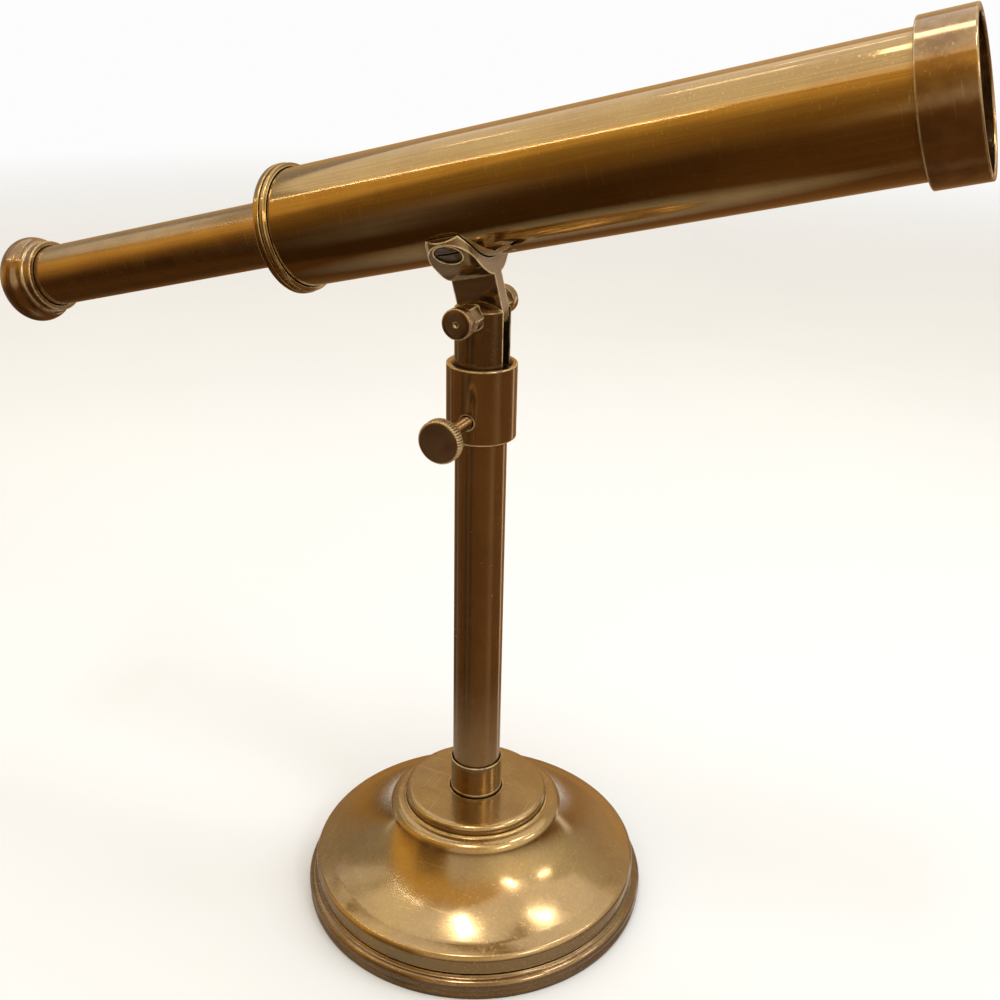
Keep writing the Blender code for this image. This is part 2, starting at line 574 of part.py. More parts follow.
def small_lens(radius, middle, rear_bulge, front_bulge):
    """A lens with a 1.2 mm rim centred on the station middle."""
    return lens(radius, middle - 0.6 * MM, middle + 0.6 * MM, rear_bulge, front_bulge)


def eyepiece_outline():
    """The round eyecup: dished eye face, fat rolled rim, a cove and a short neck over the draw tube."""
    seat = DRAW_REAR - 5.2 * MM
    lip = (12.6 * MM, EYEPIECE_REAR + 11.2 * MM)
    neck = 11.8 * MM
    rim_centre = (EYEPIECE_RADIUS - 5.4 * MM, EYEPIECE_REAR + 5.9 * MM)
    roll = arc(rim_centre, 5.4 * MM, -70, 28, 5)
    cove = bezier(roll[-1], (12.7 * MM, EYEPIECE_REAR + 9.8 * MM), lip, 3)
    return [
        (6.9 * MM, seat), (4.0 * MM, seat), (4.0 * MM, seat - 1.4 * MM),
        (8.6 * MM, EYEPIECE_REAR + 0.8 * MM), *roll, *cove[1:], (neck, lip[1] + 0.4 * MM),
        (neck, EYEPIECE_FRONT), (DRAW_RADIUS + GAP, EYEPIECE_FRONT),
        (DRAW_RADIUS + GAP, DRAW_REAR - GAP), (6.9 * MM, DRAW_REAR - GAP),
    ]


def main():
    for existing in list(bpy.data.objects):
        bpy.data.objects.remove(existing)
    mats = make_materials()
    make_stand(mats)
    pan = make_head(mats)
    make_clamp(mats, pan)
    tilt = empty("tilt_axis", (0, 0, PIVOT_HEIGHT), (0, -TUBE_TILT, 0), pan)
    make_saddle(mats, tilt)
    make_tube(mats, tilt)
    make_draw(mats, tilt)


main()
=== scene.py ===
"""Finished look of the brass telescope: fine shapes, patinated brass, studio light and camera.

Metres, +Z up, origin under the centre of the base.  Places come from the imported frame.
"""

import json
import math

import bmesh
import bpy
from mathutils import Matrix, Vector

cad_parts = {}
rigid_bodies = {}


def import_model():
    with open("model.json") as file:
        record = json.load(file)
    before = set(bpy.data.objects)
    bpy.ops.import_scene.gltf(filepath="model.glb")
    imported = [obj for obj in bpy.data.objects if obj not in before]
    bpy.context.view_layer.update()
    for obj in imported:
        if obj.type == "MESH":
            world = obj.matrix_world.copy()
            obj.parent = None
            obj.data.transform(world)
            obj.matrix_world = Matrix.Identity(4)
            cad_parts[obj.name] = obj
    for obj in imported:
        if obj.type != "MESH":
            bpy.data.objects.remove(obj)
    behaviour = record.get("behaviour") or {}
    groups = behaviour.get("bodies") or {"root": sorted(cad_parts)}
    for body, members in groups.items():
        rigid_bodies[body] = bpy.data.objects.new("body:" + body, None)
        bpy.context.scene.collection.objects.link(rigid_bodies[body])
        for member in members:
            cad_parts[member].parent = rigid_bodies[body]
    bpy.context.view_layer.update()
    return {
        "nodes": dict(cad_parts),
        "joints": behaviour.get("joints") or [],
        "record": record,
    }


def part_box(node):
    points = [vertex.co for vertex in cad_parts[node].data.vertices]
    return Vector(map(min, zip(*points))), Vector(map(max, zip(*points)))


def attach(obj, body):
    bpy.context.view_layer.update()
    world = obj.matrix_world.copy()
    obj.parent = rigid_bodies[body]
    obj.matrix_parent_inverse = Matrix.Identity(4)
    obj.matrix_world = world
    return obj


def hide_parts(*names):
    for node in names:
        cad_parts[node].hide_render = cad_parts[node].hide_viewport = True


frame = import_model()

MM = 0.001
GAP = 0.3 * MM
PIN_BORE = 2.6 * MM
NODES = frame["nodes"]
JOINTS = {joint["name"]: joint for joint in frame["joints"]}


# Places taken from the frame

PIVOT = Vector(JOINTS["tube_tilt"]["pos_m"])
ALONG = Vector(JOINTS["draw_slide"]["axis"]).normalized()
ACROSS = Vector((0, 1, 0))
ABOVE = ALONG.cross(ACROSS)


def reach(node, origin, direction):
    """(lowest, highest) distance of a node's corners from origin along direction."""
    along = [(vertex.co - origin).dot(direction) for vertex in NODES[node].data.vertices]
    return min(along), max(along)


def frame_of(x, y, z, origin):
    """The matrix that puts local axes on x, y and z, with the local origin at origin."""
    return Matrix((
        (x[0], y[0], z[0], origin[0]), (x[1], y[1], z[1], origin[1]),
        (x[2], y[2], z[2], origin[2]), (0, 0, 0, 1),
    ))


TUBE_HEIGHT = sum(reach("main_tube", PIVOT, ABOVE)) / 2
TUBE_ORIGIN = PIVOT + ABOVE * TUBE_HEIGHT
UPRIGHT = Matrix.Identity(4)
ON_TUBE = frame_of(-ABOVE, ACROSS, ALONG, TUBE_ORIGIN)


def facing(height, side):
    """Local +Z points to the front (-1) or the back (+1), from the pole's axis at a height."""
    return frame_of((1, 0, 0), (0, 0, -side), (0, side, 0), (0, 0, height))


def along_tube(node):
    """(rear, front) of a node along the tube's axis."""
    return reach(node, TUBE_ORIGIN, ALONG)


def tube_radius(node):
    """How far a node reaches from the tube's axis."""
    return reach(node, TUBE_ORIGIN, ACROSS)[1]


def heights(node):
    """(lowest, highest) height of a node above the floor."""
    low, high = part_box(node)
    return low.z, high.z


def radius_of(node):
    """How far a node of the stand reaches from the pole's axis."""
    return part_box(node)[1].x


# Shape helpers

def arc(centre, radius, start, end, steps):
    """Points on an arc about centre, from start to end in degrees, counted from the first axis."""
    angles = [math.radians(start + (end - start) * i / steps) for i in range(steps + 1)]
    return [(centre[0] + radius * math.cos(a), centre[1] + radius * math.sin(a)) for a in angles]


def bezier(start, control, end, steps):
    """Points on a quadratic curve that leaves start towards control and arrives at end."""
    made = []
    for i in range(steps + 1):
        t = i / steps
        weights = ((1 - t) ** 2, 2 * t * (1 - t), t * t)
        made.append(tuple(sum(w * v for w, v in zip(weights, values))
                          for values in zip(start, control, end)))
    return made


def eased(corners, steps=4):
    """Rounds the corners of a closed outline that name a setback, with support points beside each."""
    support = 0.12 * MM
    points = []
    for i, corner in enumerate(corners):
        here = Vector(corner[:2])
        if len(corner) < 3:
            points.append(here)
            continue
        sides = [Vector(corners[j][:2]) - here for j in (i - 1, (i + 1) % len(corners))]
        setback = min(corner[2], *(0.45 * side.length for side in sides))
        ends = [here + side.normalized() * setback for side in sides]
        supports = [here + side.normalized() * (setback + support) if side.length > 2.2 * (setback + support)
                    else None for side in sides]
        if supports[0]:
            points.append(supports[0])
        points += [Vector(point) for point in bezier(ends[0], here, ends[1], steps)]
        if supports[1]:
            points.append(supports[1])
    return points


def finished(name, shape, place=UPRIGHT, sharp=50.0):
    """Turns a bmesh into an object whose mesh is in the row frame, smooth between sharp edges."""
    bmesh.ops.remove_doubles(shape, verts=shape.verts, dist=1e-7)
    bmesh.ops.recalc_face_normals(shape, faces=shape.faces)
    mesh = bpy.data.meshes.new(name)
    shape.to_mesh(mesh)
    shape.free()
    mesh.transform(place)
    mesh.shade_smooth()
    mesh.set_sharp_from_angle(angle=math.radians(sharp))
    made = bpy.data.objects.new(name, mesh)
    bpy.context.scene.collection.objects.link(made)
    return made


def turned(name, corners, place=UPRIGHT, segments=128, radial=None):
    """Turns a closed outline of (radius, height[, setback]) about local Z.

    radial, when given, changes a radius from (radius, height, angle), as for threads and knurls.
    """
    shape = bmesh.new()
    rings = []
    for radius, height in eased(corners):
        if radius < 1e-7:
            rings.append([shape.verts.new((0, 0, height))])
            continue
        ring = []
        for i in range(segments):
            angle = math.tau * i / segments
            r = radial(radius, height, angle) if radial else radius
            ring.append(shape.verts.new((r * math.cos(angle), r * math.sin(angle), height)))
        rings.append(ring)
    for low, high in zip(rings, rings[1:] + rings[:1]):
        if len(low) == len(high) == 1:
            continue
        for i in range(segments):
            j = (i + 1) % segments
            corners_of_face = [low[i % len(low)], low[j % len(low)], high[j % len(high)], high[i % len(high)]]
            shape.faces.new(list(dict.fromkeys(corners_of_face)))
    return finished(name, shape, place)


def extruded(name, outline, low, high, place=UPRIGHT):
    """A prism of a closed local (x, y) outline, from low to high along local Z."""
    shape = bmesh.new()
    face = shape.faces.new([shape.verts.new((x, y, low)) for x, y in outline])
    top = bmesh.ops.extrude_face_region(shape, geom=[face])["geom"]
    moved = [item for item in top if isinstance(item, bmesh.types.BMVert)]
    bmesh.ops.translate(shape, verts=moved, vec=(0, 0, high - low))
    return finished(name, shape, place)


def rod(name, radius, low, high, place, segments=48):
    """A plain cylinder from low to high along local Z."""
    return extruded(name, arc((0, 0), radius, 0, 360 - 360 / segments, segments - 1), low, high, place)


def carved(body, *cutters, operation="DIFFERENCE"):
    """Applies Booleans to body, and removes their cutters."""
    for cutter in cutters:
        modifier = body.modifiers.new("carve", "BOOLEAN")
        modifier.operation = operation
        modifier.object = cutter
        modifier.solver = "EXACT"
    bpy.context.view_layer.update()
    graph = bpy.context.evaluated_depsgraph_get()
    mesh = bpy.data.meshes.new_from_object(body.evaluated_get(graph))
    body.modifiers.clear()
    shape = bmesh.new()
    shape.from_mesh(mesh)
    bmesh.ops.remove_doubles(shape, verts=shape.verts, dist=2e-6)
    bmesh.ops.dissolve_degenerate(shape, edges=shape.edges, dist=2e-6)
    shape.to_mesh(mesh)
    shape.free()
    mesh.shade_smooth()
    mesh.set_sharp_from_angle(angle=math.radians(18))
    body.data = mesh
    for cutter in cutters:
        bpy.data.objects.remove(cutter)
    return body


def softened(body, width, angle=32.0, segments=3):
    """Rounds the edges of a carved piece."""
    modifier = body.modifiers.new("soft edges", "BEVEL")
    modifier.width = width
    modifier.segments = segments
    modifier.limit_method = "ANGLE"
    modifier.angle_limit = math.radians(angle)
    modifier.harden_normals = True
    modifier.use_clamp_overlap = True
    return body


def piece(made, body, slot, replaced, finish=None):
    """Gives a piece its body, and hides the CAD node that it stands for.

    Its finish is the one named like its slot, unless another is given.
    """
    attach(made, body)
    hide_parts(replaced)
    made["finish"] = finish or slot


# The stand

def make_stand():
    """The weighted base and its pole: bell, foot ring, disc, ferrule, tube and felt."""
    hem_z, top_z = heights("base_bell")
    lip = radius_of("base_bell") - 1.1 * MM
    shoulder, roll = 26.1 * MM, 3.7 * MM
    groove = radius_of("base_top_disc") + 0.08 * MM
    wall = 1.6 * MM
    hole = 4.0 * MM
    outside = [(lip + 1.0 * MM, hem_z, 0.3 * MM), (lip + 1.1 * MM, hem_z + 3.2 * MM)]
    outside += arc((lip - 1.4 * MM, hem_z + 4.2 * MM), 2.4 * MM, 2, 66, 10)
    outside += bezier((51.0 * MM, hem_z + 7.1 * MM), (34.0 * MM, hem_z + 14.2 * MM),
                      (shoulder + 0.97 * roll, top_z - 0.76 * roll), 28)
    outside += arc((shoulder, top_z - roll), roll, 20, 90, 14)
    outside += arc((groove + 1.0 * MM, top_z + 0.9 * MM), 0.9 * MM, 270, 190, 8)
    outside += [(groove, top_z + 0.75 * MM), (groove, top_z)]
    inside = [
        (5.0 * MM, top_z - wall), (26.0 * MM, top_z - wall), (28.6 * MM, 31.8 * MM),
        (34.5 * MM, 22.2 * MM), (50.4 * MM, 13.8 * MM), (54.2 * MM, 12.0 * MM), (54.2 * MM, hem_z),
    ]
    bell = turned("bell_skin", [(hole, top_z)] + outside[::-1] + inside[::-1] + [(hole, top_z - wall)],
                  segments=192)
    piece(bell, "stand", "golden_brass", "base_bell")

    foot = radius_of("base_foot_ring")
    foot_top = heights("base_foot_ring")[1]
    inner = lip - 2.5 * MM
    bead = arc((foot - 1.9 * MM, 4.8 * MM), 1.9 * MM, -52, 96, 16)
    ring = turned("foot_bead_ring", [
        (foot - 0.5 * MM, 0, 0.2 * MM), (foot - 0.15 * MM, 1.5 * MM, 0.3 * MM),
        (foot - 0.75 * MM, 2.9 * MM, 0.3 * MM), *bead,
        (foot - 2.6 * MM, foot_top - 0.5 * MM, 0.3 * MM), (foot - 3.0 * MM, foot_top, 0.2 * MM),
        (inner, foot_top), (inner, 0),
    ], segments=192)
    piece(ring, "stand", "golden_brass", "base_foot_ring", finish="aged_brass")

    low, high = heights("base_top_disc")
    disc = turned("stepped_disc", [
        (9.2 * MM, low), (24.1 * MM, low), (24.25 * MM, low + 0.2 * MM),
        *arc((22.5 * MM, high - 1.8 * MM), 1.8 * MM, -8, 84, 18),
        (21.6 * MM, high - 0.02 * MM), (9.2 * MM, high),
    ], segments=160)
    piece(disc, "stand", "golden_brass", "base_top_disc")

    low, high = heights("pole_ferrule")
    radius = radius_of("pole_ferrule")
    bore = radius_of("pole_tube") + GAP
    ferrule = turned("foot_ferrule", [
        (bore, low), (radius + 0.1 * MM, low, 0.25 * MM), (radius + 0.1 * MM, low + 0.7 * MM, 0.2 * MM),
        (radius - 0.05 * MM, low + 0.9 * MM, 0.1 * MM), (radius - 0.05 * MM, high - 0.1 * MM, 0.35 * MM),
        (bore + 0.1 * MM, high, 0.15 * MM), (bore, high - 0.4 * MM),
    ], segments=112)
    piece(ferrule, "stand", "golden_brass", "pole_ferrule", finish="aged_brass")

    low, high = heights("pole_tube")
    radius = radius_of("pole_tube")
    pole = turned("upright_tube", [
        (radius - 1.2 * MM, low), (radius, low, 0.2 * MM), (radius, high, 0.3 * MM),
        (radius - 1.2 * MM, high, 0.2 * MM),
    ], segments=112)
    piece(pole, "stand", "dark_brass", "pole_tube")

    low, high = heights("base_felt")
    radius = radius_of("base_felt")
    felt = turned("baize_pad", [
        (0, low), (radius, low, 0.5 * MM), (radius, high, 0.3 * MM), (0, high),
    ], segments=160)
    piece(felt, "stand", "green_felt", "base_felt")


# The head

def make_head():
    """The swivelling head: clamped collar, slotted fork, and the bolt, nut and washer of the tilt."""
    low, high = heights("collar_sleeve")
    radius = radius_of("collar_sleeve")
    bore = radius_of("pole_tube") + 0.4 * MM
    screw_z = sum(heights("thumb_screw_shank")) / 2
    collar = turned("swivel_sleeve", [
        (bore, low, 0.2 * MM), (radius, low, 0.35 * MM), (radius, high, 0.3 * MM),
        (bore + 1.0 * MM, high, 0.2 * MM), (bore, high - 1.2 * MM, 0.2 * MM),
    ], segments=144)
    carved(collar, rod("clamp_bore", 2.3 * MM, 4 * MM, 16 * MM, facing(screw_z, -1)))
    piece(softened(collar, 0.18 * MM, angle=40), "head", "dark_brass", "collar_sleeve")

    low, high = heights("fork_head")
    radius = radius_of("fork_head")
    dome = arc((0, high - 15.0 * MM), 15.0 * MM, 90, 57.5, 12)
    fork = turned("slotted_fork", [
        *dome, (radius, dome[-1][1] - 0.25 * MM, 0.3 * MM), (radius, low), (0, low),
    ], segments=144)
    flat = reach("pivot_washer", Vector(), ACROSS)[0] - GAP
    slot = [(-12 * MM, -2.7 * MM), (12 * MM, -2.7 * MM), (12 * MM, 2.7 * MM), (-12 * MM, 2.7 * MM)]
    spot = 4.2 * MM
    carved(
        fork,
        extruded("slot", slot, heights("collar_sleeve")[1] - 1.0 * MM, high + 9 * MM),
        rod("pin_bore", PIN_BORE, -20 * MM, 20 * MM, facing(PIVOT.z, -1)),
        *(extruded("spot_face",
                   [(x, -side * y) for x, y in arc((0, 0), spot, 180, 360, 32)
                    + [(spot, 12 * MM), (-spot, 12 * MM)]][::-side],
                   flat, flat + 6 * MM, facing(PIVOT.z, side)) for side in (-1, 1)),
    )
    piece(softened(fork, 0.25 * MM, angle=18), "head", "dark_brass", "fork_head", finish="aged_brass")

    make_tilt_knob("tilt_bolt", "pivot_bolt", -1, flat + GAP)
    make_tilt_knob("tilt_knob_nut", "pivot_nut", 1, reach("pivot_nut", Vector(), ACROSS)[0])

    low, high = reach("pivot_washer", Vector(), ACROSS)
    washer = turned("knob_washer", [
        (PIN_BORE, low, 0.1 * MM), (4.0 * MM, low, 0.15 * MM), (4.0 * MM, high, 0.15 * MM),
        (PIN_BORE, high, 0.1 * MM),
    ], facing(PIVOT.z, 1), segments=64)
    piece(washer, "head", "bright_brass", "pivot_washer")


def make_tilt_knob(name, node, side, neck_start):
    """The round head of the pivot bolt (-1) or of its nut (+1), on a hexagonal neck."""
    low, high = reach(node, Vector(), ACROSS * side)
    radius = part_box(node)[1].x
    back = high - 3.7 * MM
    place = facing(PIVOT.z, side)
    knob = turned(name, [
        (0, back - 1.0 * MM), (3.2 * MM, back - 1.0 * MM), (3.2 * MM, back, 0.05 * MM),
        (radius - 0.1 * MM, back, 0.3 * MM), (radius, back + 1.4 * MM), (radius, high - 0.15 * MM, 0.45 * MM),
        (radius - 1.2 * MM, high, 0.2 * MM), (0.75 * MM, high, 0.12 * MM),
        (0.35 * MM, high - 0.5 * MM, 0.1 * MM), (0, high - 0.6 * MM),
    ], place, segments=96)
    corner = 3.5 * MM / math.cos(math.radians(30))
    hexagon = arc((0, 0), corner, 0, 300, 5)
    carved(knob, extruded("hex_neck", hexagon, neck_start, back + 0.3 * MM, place), operation="UNION")
    if side < 0:
        carved(knob, rod("bolt_shank", 2.3 * MM, low, back, place), operation="UNION")
    else:
        carved(knob, rod("nut_bore", PIN_BORE, low - 1 * MM, back - 0.9 * MM, place))
    piece(softened(knob, 0.16 * MM, angle=28), "head", "copper_brass", node)


def make_clamp():
    """The thumb screw in the front of the collar: a threaded shank and a knurled knob."""
    low, high = reach("thumb_screw_shank", Vector(), -ACROSS)
    height = sum(heights("thumb_screw_shank")) / 2
    crest = 2.0 * MM
    pitch = 0.7 * MM
    depth = 0.3 * MM
    head_back = reach("thumb_screw_head", Vector(), -ACROSS)[0]
    threaded = [(0, low), (1.5 * MM, low)]
    length = head_back - low - 0.6 * MM
    steps = int(length / pitch * 8)
    for i in range(steps + 1):
        threaded.append((crest, low + 0.5 * MM + length * i / steps))
    threaded += [(1.9 * MM, high), (0, high)]

    def thread(radius, z, angle):
        """A right-hand thread, cut into the crest only."""
        if radius < crest - 1e-9:
            return radius
        turn = (z / pitch - angle / math.tau) % 1.0
        return radius - depth * abs(2 * turn - 1)

    shank = turned("clamp_thread", threaded, facing(height, -1), segments=48, radial=thread)
    piece(shank, "clamp_shank", "dark_brass", "thumb_screw_shank", finish="threaded_brass")

    low, high = reach("thumb_screw_head", Vector(), -ACROSS)
    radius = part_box("thumb_screw_head")[1].x
    teeth = 46
    groove_depth = 0.42 * MM

    def knurl(base, z, angle):
        """Straight grooves, cut into the rim only."""
        if base < radius - 0.35 * MM:
            return base
        turn = (angle * teeth / math.tau) % 1.0
        groove = max(0.0, 1.0 - abs(2 * turn - 1) * 1.7)
        return base - groove_depth * groove

    head = turned("clamp_knob_knurled", [
        (0, low + 2.4 * MM), (2.3 * MM, low + 2.4 * MM), (2.3 * MM, low, 0.15 * MM), (4.2 * MM, low),
        (radius - 0.8 * MM, low, 0.1 * MM), (radius - 0.4 * MM, low + 0.25 * MM), (radius, low + 0.6 * MM),
        (radius, (low + high) / 2), (radius, high - 0.6 * MM), (radius - 0.4 * MM, high - 0.22 * MM),
        (radius - 0.8 * MM, high - 0.04 * MM, 0.15 * MM), (radius - 1.6 * MM, high - 0.06 * MM),
        (2.0 * MM, high, 0.4 * MM), (0, high),
    ], facing(height, -1), segments=teeth * 8, radial=knurl)
    piece(head, "clamp_knob", "copper_brass", "thumb_screw_head")


# The saddle

def make_saddle():
    """The bracket under the tube: a tongue for the fork, and ears with two sunk screws."""
    low, high = reach("saddle_bracket", PIVOT, ALONG)
    centre, half = (low + high) / 2, (high - low) / 2
    contact = tube_radius("main_tube") + GAP
    tip = contact + 2.6 * MM
    arm = math.radians(60)
    tongue = 2.3 * MM
    side = [(tongue, -9 * MM)]
    side += bezier((tongue, 10.2 * MM), (6.0 * MM, 10.6 * MM), (11.0 * MM, 15.6 * MM), 16)
    side += [(tip * math.sin(arm), TUBE_HEIGHT - tip * math.cos(arm))]
    cradle = arc((0, TUBE_HEIGHT), contact, math.degrees(arm) - 90, -90 - math.degrees(arm), 56)
    profile = side + cradle + [(-x, y) for x, y in side[::-1]]
    # local x -> across, y -> height above the pivot, z -> along the tube
    end_on = frame_of(ACROSS, ABOVE, ALONG, PIVOT + ALONG * centre)
    bracket = extruded("saddle_bracket_fine", profile, -half * 1.1, half * 1.1, end_on)

    from_front = frame_of(ALONG, ABOVE, -ACROSS, PIVOT + ALONG * centre)
    rounded = arc((0, 0), half, 180, 360, 40) + [(half + 1 * MM, 30 * MM), (-half - 1 * MM, 30 * MM)]
    from_above = frame_of(ALONG, ACROSS, ABOVE, PIVOT + ALONG * centre)
    ear = 0.86 * half
    ear_y = reach("saddle_bracket", PIVOT, ACROSS)[1] - ear
    strip = [(half * 1.02 * x * s, s * (ear_y + ear * y)) for s in (1, -1)
             for x, y in arc((0, 0), 1.0, 0, 180, 32)]
    carved(bracket, extruded("front_view", rounded, -30 * MM, 30 * MM, from_front), operation="INTERSECT")
    carved(bracket, extruded("top_view", strip, -20 * MM, 60 * MM, from_above), operation="INTERSECT")

    cutters = [rod("pivot_bore", PIN_BORE, -10 * MM, 10 * MM, from_front)]
    seat = contact
    for sign, where in ((-1, "front"), (1, "back")):
        angle = math.radians(45) * sign
        outward = ABOVE * -math.cos(angle) + ACROSS * math.sin(angle)
        sunk = frame_of(ALONG, outward.cross(ALONG), outward, TUBE_ORIGIN + ALONG * centre)
        cutters.append(turned("countersink", [
            (0, seat - 3 * MM), (2.0 * MM, seat - 3 * MM), (2.0 * MM, seat + 0.2 * MM),
            (4.1 * MM, seat + 1.0 * MM), (4.1 * MM, seat + 7 * MM), (0, seat + 7 * MM),
        ], sunk, segments=64))
        top = seat + 1.3 * MM
        screw = turned(f"sunk_screw_{where}", [
            (0, seat - 1.9 * MM), (1.7 * MM, seat - 1.9 * MM, 0.2 * MM), (1.7 * MM, seat + 0.2 * MM),
            (3.75 * MM, seat + 1.0 * MM, 0.1 * MM), (3.75 * MM, top, 0.15 * MM), (0, top + 0.25 * MM),
        ], sunk, segments=64)
        groove = [(-5 * MM, -0.45 * MM), (5 * MM, -0.45 * MM), (5 * MM, 0.45 * MM), (-5 * MM, 0.45 * MM)]
        carved(screw, extruded("driver_slot", groove, top - 0.7 * MM, top + 2 * MM, sunk))
        piece(screw, "tube", "steel", f"saddle_screw_{where}")
    carved(bracket, *cutters)
    bracket = softened(bracket, 0.45 * MM, angle=34)
    piece(bracket, "tube", "dark_brass", "saddle_bracket", finish="aged_brass")


# The tube

def make_tube():
    """The barrel with its end ring, objective cell, rings and achromat."""
    tube_rear, tube_front = along_tube("main_tube")
    radius = tube_radius("main_tube")
    bore = radius - 0.9 * MM
    tube = turned("barrel", [
        (bore, tube_rear, 0.1 * MM), (radius, tube_rear, 0.2 * MM),
        (radius, tube_front, 0.2 * MM), (bore, tube_front, 0.1 * MM),
    ], ON_TUBE, segments=192)
    piece(tube, "tube", "antique_brass", "main_tube")

    rear, front = along_tube("end_ring")
    lip = tube_radius("end_ring")
    hole = tube_radius("draw_tube") + GAP
    step = rear + 4.0 * MM
    inner = bore - GAP
    ring = turned("barrel_end_ring", [
        (hole, rear, 0.3 * MM), (lip - 0.02 * MM, rear, 0.55 * MM), (lip, rear + 2.05 * MM, 0.4 * MM),
        (lip - 0.8 * MM, rear + 2.15 * MM, 0.15 * MM), (lip - 0.8 * MM, rear + 2.5 * MM, 0.15 * MM),
        (lip - 0.25 * MM, rear + 2.6 * MM, 0.35 * MM), (lip - 0.3 * MM, rear + 3.7 * MM, 0.35 * MM),
        (radius + 0.75 * MM, rear + 3.85 * MM, 0.3 * MM), (radius + GAP, step, 0.1 * MM),
        (radius + GAP, tube_rear - GAP),
        (inner, tube_rear - GAP), (inner, front), (inner - 1.0 * MM, front),
        (inner - 1.0 * MM, rear + 1.8 * MM), (hole, rear + 1.8 * MM, 0.2 * MM),
    ], ON_TUBE, segments=192)
    piece(ring, "tube", "antique_brass", "end_ring")

    rear, front = along_tube("objective_cell")
    cell = tube_radius("objective_cell")
    mouth = cell - 1.6 * MM
    land = cell - 4.0 * MM
    ledge = tube_front + 1.6 * MM
    cap = turned("objective_cell_fine", [
        (radius + GAP, rear, 0.1 * MM), (cell, rear, 0.35 * MM), (cell, front, 0.45 * MM),
        (mouth, front, 0.5 * MM), (mouth, ledge), (land, ledge, 0.3 * MM),
        (land, tube_front + GAP), (radius + GAP, tube_front + GAP),
    ], ON_TUBE, segments=192)
    piece(cap, "tube", "copper_brass", "objective_cell")

    rear, front = along_tube("objective_retaining_ring")
    outer = tube_radius("objective_retaining_ring")
    retainer = turned("lens_retaining_ring", [
        (14.2 * MM, rear + 1.4 * MM), (outer, rear), (outer, front, 0.15 * MM), (14.6 * MM, front, 0.15 * MM),
        (14.2 * MM, front - 0.4 * MM, 0.1 * MM),
    ], ON_TUBE, segments=128)
    notches = []
    for side in (-1, 1):
        at = frame_of(-ABOVE, ACROSS, ALONG, TUBE_ORIGIN + ACROSS * side * 14.9 * MM)
        notches.append(rod("key_notch", 0.6 * MM, front - 0.9 * MM, front + 1 * MM, at, 24))
    carved(retainer, *notches)
    piece(retainer, "tube", "bright_brass", "objective_retaining_ring", finish="black_paint")

    rear, front = along_tube("objective_seat_ring")
    outer = tube_radius("objective_seat_ring")
    seat = turned("lens_seat_ring", [
        (14.4 * MM, rear), (outer, rear), (outer, front), (15.9 * MM, front), (15.9 * MM, rear + 1.2 * MM),
        (14.4 * MM, rear + 1.2 * MM, 0.15 * MM),
    ], ON_TUBE, segments=128)
    piece(seat, "tube", "black_paint", "objective_seat_ring")

    shelf = rear + 1.2 * MM + GAP
    lens("achromat_flint", "objective_flint_lens", "tube", shelf, shelf + 2.9 * MM, -0.2 * MM, -1.6 * MM)
    air_gap = shelf + 3.3 * MM
    lens("achromat_crown", "objective_crown_lens", "tube", air_gap, air_gap + 1.8 * MM, 1.6 * MM, 1.7 * MM)


def lens(name, node, body, rear, front, rear_bulge, front_bulge, segments=128):
    """A ground lens: its rim runs from rear to front, and its faces bulge outwards at the axis."""
    radius = tube_radius(node)
    steps = 16

    def face(station, bulge):
        return [(radius * i / steps, station + bulge * (1 - (i / steps) ** 2)) for i in range(steps + 1)]

    made = turned(name, face(rear, -rear_bulge) + face(front, front_bulge)[::-1], ON_TUBE, segments)
    piece(made, body, "glass", node)


def make_draw():
    """The draw tube with its rolled eye cup and eye lens."""
    rear, front = along_tube("draw_tube")
    radius = tube_radius("draw_tube")
    bore = radius - 0.8 * MM
    tube = turned("sliding_tube", [
        (bore, rear, 0.1 * MM), (radius, rear, 0.2 * MM), (radius, front, 0.2 * MM), (bore, front, 0.1 * MM),
    ], ON_TUBE, segments=144)
    piece(tube, "draw", "antique_brass", "draw_tube", finish="drawn_brass")

    front = along_tube("eyepiece_cup")[1]
    roll_centre = (9.0 * MM, rear - 6.9 * MM)
    seat = rear - 5.2 * MM
    neck = 11.8 * MM
    lip = (12.6 * MM, rear - 1.6 * MM)
    roll = arc(roll_centre, 5.4 * MM, -86, 28, 34)
    cove = bezier(roll[-1], (12.75 * MM, rear - 3.2 * MM), lip, 12)
    dish = bezier((4.6 * MM, seat - 1.6 * MM), (6.8 * MM, seat - 6.6 * MM), (8.9 * MM, rear - 12.24 * MM), 12)
    cup = turned("rolled_eyecup", [
        (6.9 * MM, seat), (4.0 * MM, seat, 0.15 * MM), (4.0 * MM, seat - 1.4 * MM, 0.3 * MM), *dish, *roll,
        *cove[1:-1], (*lip, 0.25 * MM), (12.35 * MM, lip[1] + 0.45 * MM, 0.2 * MM),
        (neck, lip[1] + 0.6 * MM, 0.2 * MM), (neck, front, 0.3 * MM), (radius + GAP, front, 0.1 * MM),
        (radius + GAP, rear - GAP), (6.9 * MM, rear - GAP),
    ], ON_TUBE, segments=176)
    piece(cup, "draw", "copper_brass", "eyepiece_cup")

    middle = rear - 3.8 * MM
    lens("eye_lens_fine", "eye_lens", "draw", middle - 0.6 * MM, middle + 0.6 * MM, 0.7 * MM, 0.7 * MM, 96)


make_stand()
make_head()
make_clamp()
make_saddle()
make_tube()
make_draw()


# Materials

def add_node(tree, kind, inputs, settings):
    """A new shader node: its settings are set, and its inputs are linked to sockets or set to values."""
    node = tree.nodes.new("ShaderNode" + kind)
    for name, value in settings.items():
        setattr(node, name, value)
    for key, value in inputs.items():
        if isinstance(value, bpy.types.NodeSocket):
            tree.links.new(value, node.inputs[key])
        else:
            node.inputs[key].default_value = value
    return node


